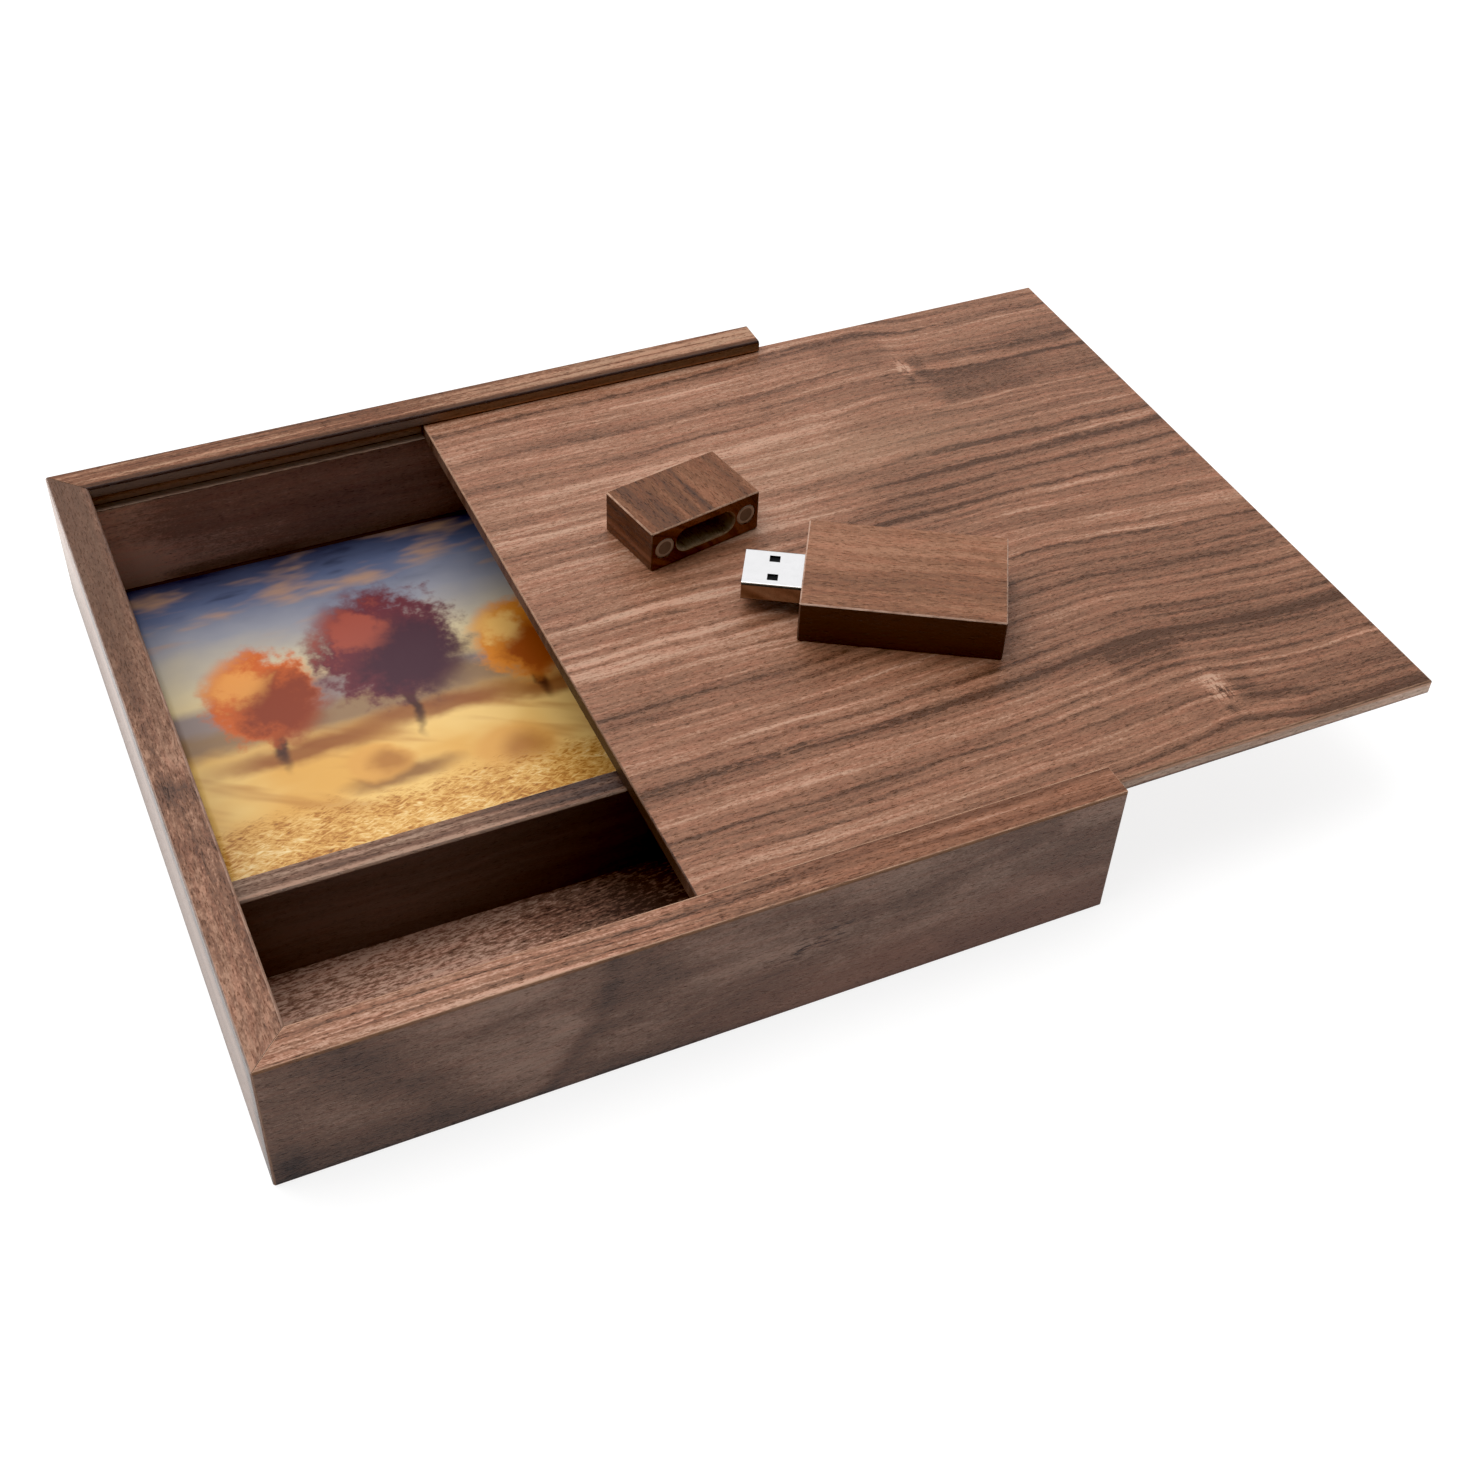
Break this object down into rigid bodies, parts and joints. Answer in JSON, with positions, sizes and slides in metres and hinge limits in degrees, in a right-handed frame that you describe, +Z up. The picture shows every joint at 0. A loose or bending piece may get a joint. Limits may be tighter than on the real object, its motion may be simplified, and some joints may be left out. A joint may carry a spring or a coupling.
{
  "type": "photo storage box",
  "caption": "Walnut photo box with a sliding lid, a divided compartment, a stack of prints and a capped wooden USB drive lying on the lid.",
  "frame": {"origin": "centre of the box's underside, on the surface the box stands on", "axes": "+X the way the lid slides open, +Y from the drive's compartment at the front to the back wall, +Z up"},
  "size_m": [0.2512, 0.177, 0.0403],
  "materials": {
    "walnut_box": "oiled walnut, satin, visible open pores",
    "walnut_lid": "oiled walnut, satin, strong straight figure",
    "walnut_drive": "oiled walnut, satin, fine grain",
    "photo_paper": "semi-gloss photographic paper",
    "plug_steel": "bright tin-plated sheet steel",
    "tongue_plastic": "black moulded plastic",
    "contact_gold": "gold plating",
    "board_green": "green solder mask on glass-fibre laminate",
    "chip_black": "moulded epoxy",
    "crystal_steel": "plain metal can",
    "component_tan": "ceramic chip parts",
    "magnet_nickel": "dull nickel plate"
  },
  "bodies": {
    "box": {"front_wall": "walnut_box", "back_wall": "walnut_box", "closed_end_wall": "walnut_box", "open_end_wall": "walnut_box", "bottom_panel": "walnut_box", "divider": "walnut_box", "lower_prints": "photo_paper", "top_print": "photo_paper"},
    "lid": {"sliding_lid": "walnut_lid"},
    "drive": {"drive_body_lower": "walnut_drive", "drive_body_upper": "walnut_drive", "plug_shell": "plug_steel", "plug_tongue": "tongue_plastic", "plug_contacts": "contact_gold", "circuit_board": "board_green", "controller_chip": "chip_black", "memory_chip": "chip_black", "crystal_can": "crystal_steel", "board_components": "component_tan", "drive_magnets": "magnet_nickel"},
    "cap": {"cap_block": "walnut_drive", "cap_magnets": "magnet_nickel"}
  },
  "joints": [
    {"name": "lid_slide", "type": "slide", "parent": "box", "child": "lid", "axis": [1, 0, 0], "range_m": [-0.0792, 0.088]},
    {"name": "drive_slide", "type": "slide", "parent": "lid", "child": "drive", "axis": [-0.8627, 0.5057, 0], "range_m": [0, 0.01305]},
    {"name": "cap_swing", "type": "hinge", "parent": "lid", "child": "cap", "pos_m": [0.06014, 0.0069, 0.0301], "axis": [0, 0, 1], "range_deg": [0, 48.37]}
  ]
}
